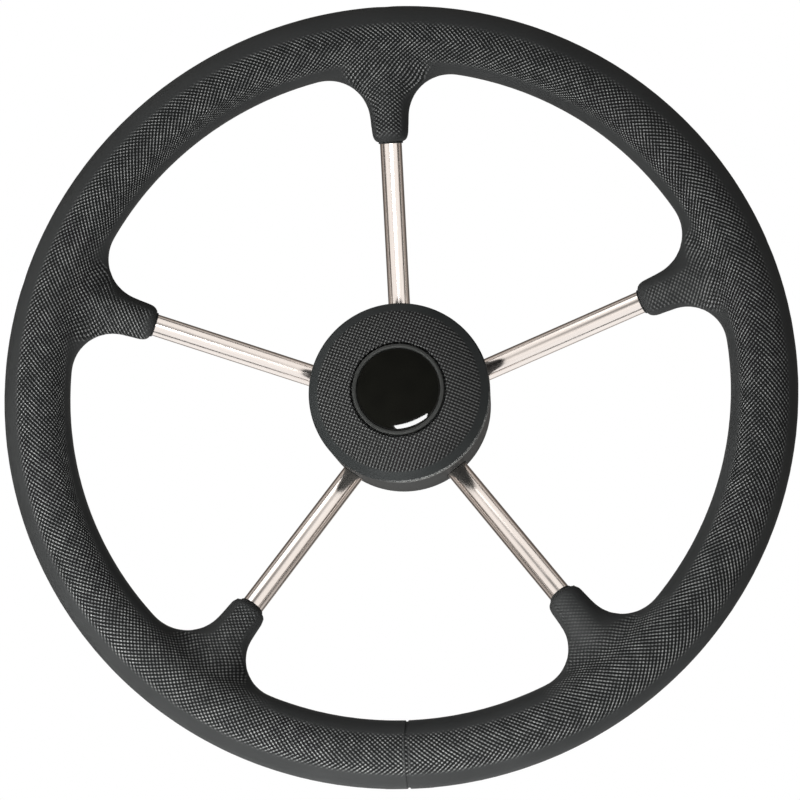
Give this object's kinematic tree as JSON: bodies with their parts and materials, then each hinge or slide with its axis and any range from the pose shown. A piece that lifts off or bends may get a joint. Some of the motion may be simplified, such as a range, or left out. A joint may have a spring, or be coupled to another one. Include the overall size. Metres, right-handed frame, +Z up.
{
  "type": "boat steering wheel",
  "caption": "Boat steering wheel with a round soft grip moulded down slanted tube spokes, and a deep covered hub with a gloss centre cap.",
  "frame": {"origin": "centre of the boss's rear face, at the mouth of the tapered shaft bore", "axes": "+Y along the shaft, out of the bore's mouth towards the dash; the driver's side faces -Y; +Z up along the first spoke"},
  "size_m": [0.35, 0.0676, 0.35],
  "materials": {
    "grip_foam": "moulded soft skin with a raised diamond texture",
    "stainless": "polished tube",
    "boss_steel": "turned",
    "cover_plastic": "moulded, finely textured face and satin sides",
    "screw_steel": "plain",
    "cap_plastic": "satin",
    "dome_resin": "clear gloss dome over black"
  },
  "bodies": {
    "root": {"rim_grip": "grip_foam", "rim_ring": "stainless", "spoke_1": "stainless", "spoke_2": "stainless", "spoke_3": "stainless", "spoke_4": "stainless", "spoke_5": "stainless", "hub_boss": "boss_steel", "hub_cover": "cover_plastic", "rear_cover": "cover_plastic", "cover_screws": "screw_steel", "centre_cap": "cap_plastic", "cap_dome": "dome_resin"}
  },
  "joints": []
}
